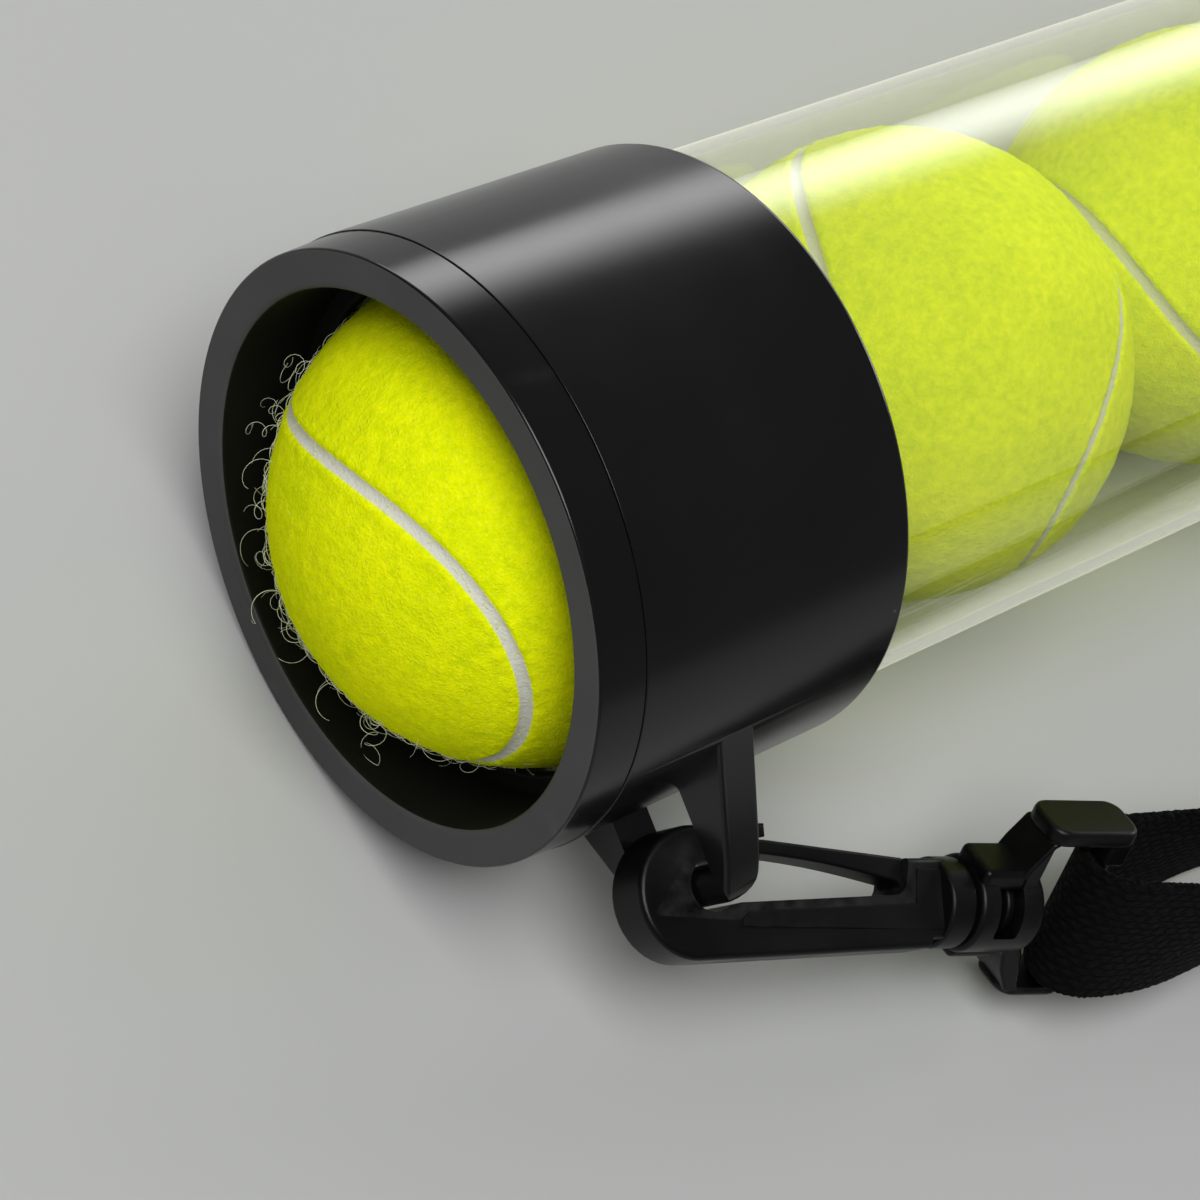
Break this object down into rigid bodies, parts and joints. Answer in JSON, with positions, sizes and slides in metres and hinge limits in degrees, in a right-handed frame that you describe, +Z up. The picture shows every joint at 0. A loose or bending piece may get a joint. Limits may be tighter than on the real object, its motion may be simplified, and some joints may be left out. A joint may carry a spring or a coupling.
{
  "type": "tennis ball pickup tube",
  "caption": "Clear tube that picks up and stores tennis balls through a lipped mouth ring, with black end sleeves, a pull-off end cap and a webbing shoulder strap on swivel snap hooks.",
  "frame": {"origin": "middle of the whole object's footprint, on the surface it lies on", "axes": "+X from the mouth to the end cap, +Y away from the strap, +Z up"},
  "size_m": [1.0204, 0.1842, 0.0814],
  "materials": {
    "clear_plastic": "clear, glossy, faint olive tint",
    "grey_rubber": "matte dark grey",
    "gloss_black": "glossy black",
    "hook_black": "satin black, faintly pebbled",
    "webbing": "coarse woven black webbing",
    "ball_felt": "yellow-green felt with a white seam"
  },
  "bodies": {
    "tube_body": {"clear_tube": "clear_plastic", "pickup_ring": "grey_rubber", "front_sleeve": "gloss_black", "rear_sleeve": "gloss_black", "strap_long": "webbing", "strap_return": "webbing", "strap_rear_tail": "webbing"},
    "ball_stack": {"ball_01": "ball_felt", "ball_02": "ball_felt", "ball_03": "ball_felt", "ball_04": "ball_felt", "ball_05": "ball_felt", "ball_06": "ball_felt", "ball_07": "ball_felt", "ball_08": "ball_felt", "ball_09": "ball_felt", "ball_10": "ball_felt", "ball_11": "ball_felt", "ball_12": "ball_felt", "ball_13": "ball_felt", "ball_14": "ball_felt", "ball_15": "ball_felt"},
    "cap_body": {"end_cap": "grey_rubber"},
    "front_hook_body": {"front_hook": "hook_black"},
    "front_gate_body": {"front_hook_gate": "hook_black"},
    "front_eye_body": {"front_swivel_eye": "hook_black", "strap_front_bow": "webbing"},
    "rear_hook_body": {"rear_hook": "hook_black"},
    "rear_gate_body": {"rear_hook_gate": "hook_black"},
    "rear_eye_body": {"rear_swivel_eye": "hook_black", "strap_rear_bow": "webbing"},
    "slider_body": {"strap_slider": "hook_black", "strap_slider_loop": "webbing"}
  },
  "joints": [
    {"name": "ball_push", "type": "slide", "parent": "tube_body", "child": "ball_stack", "axis": [1, 0, 0], "range_m": [0, 0.02]},
    {"name": "cap_pull", "type": "slide", "parent": "tube_body", "child": "cap_body", "axis": [1, 0, 0], "range_m": [0, 0.018]},
    {"name": "front_hook_swing", "type": "hinge", "parent": "tube_body", "child": "front_hook_body", "pos_m": [-0.47399, 0.00047, 0.02516], "axis": [0, -0.2924, 0.9563], "range_deg": [-15, 20]},
    {"name": "front_gate_open", "type": "hinge", "parent": "front_hook_body", "child": "front_gate_body", "pos_m": [-0.44383, -0.00955, 0.02209], "axis": [0, -0.2924, 0.9563], "range_deg": [0, 12], "stiffness_Nm_per_rad": 0.1, "springref_deg": -2.86},
    {"name": "front_eye_swivel", "type": "hinge", "parent": "front_hook_body", "child": "front_eye_body", "pos_m": [-0.43285, -0.01708, 0.01979], "axis": [0.9304, -0.3505, -0.1072], "range_deg": [-90, 90]},
    {"name": "rear_hook_swing", "type": "hinge", "parent": "tube_body", "child": "rear_hook_body", "pos_m": [0.48459, 0.00047, 0.02516], "axis": [0, 0.2924, -0.9563], "range_deg": [-15, 20]},
    {"name": "rear_gate_open", "type": "hinge", "parent": "rear_hook_body", "child": "rear_gate_body", "pos_m": [0.45443, -0.00955, 0.02209], "axis": [0, 0.2924, -0.9563], "range_deg": [0, 12], "stiffness_Nm_per_rad": 0.1, "springref_deg": -2.86},
    {"name": "rear_eye_swivel", "type": "hinge", "parent": "rear_hook_body", "child": "rear_eye_body", "pos_m": [0.44345, -0.01708, 0.01979], "axis": [-0.9304, -0.3505, -0.1072], "range_deg": [-90, 90]},
    {"name": "slider_adjust", "type": "slide", "parent": "tube_body", "child": "slider_body", "axis": [1, 0, 0], "range_m": [0, 0.06]}
  ]
}
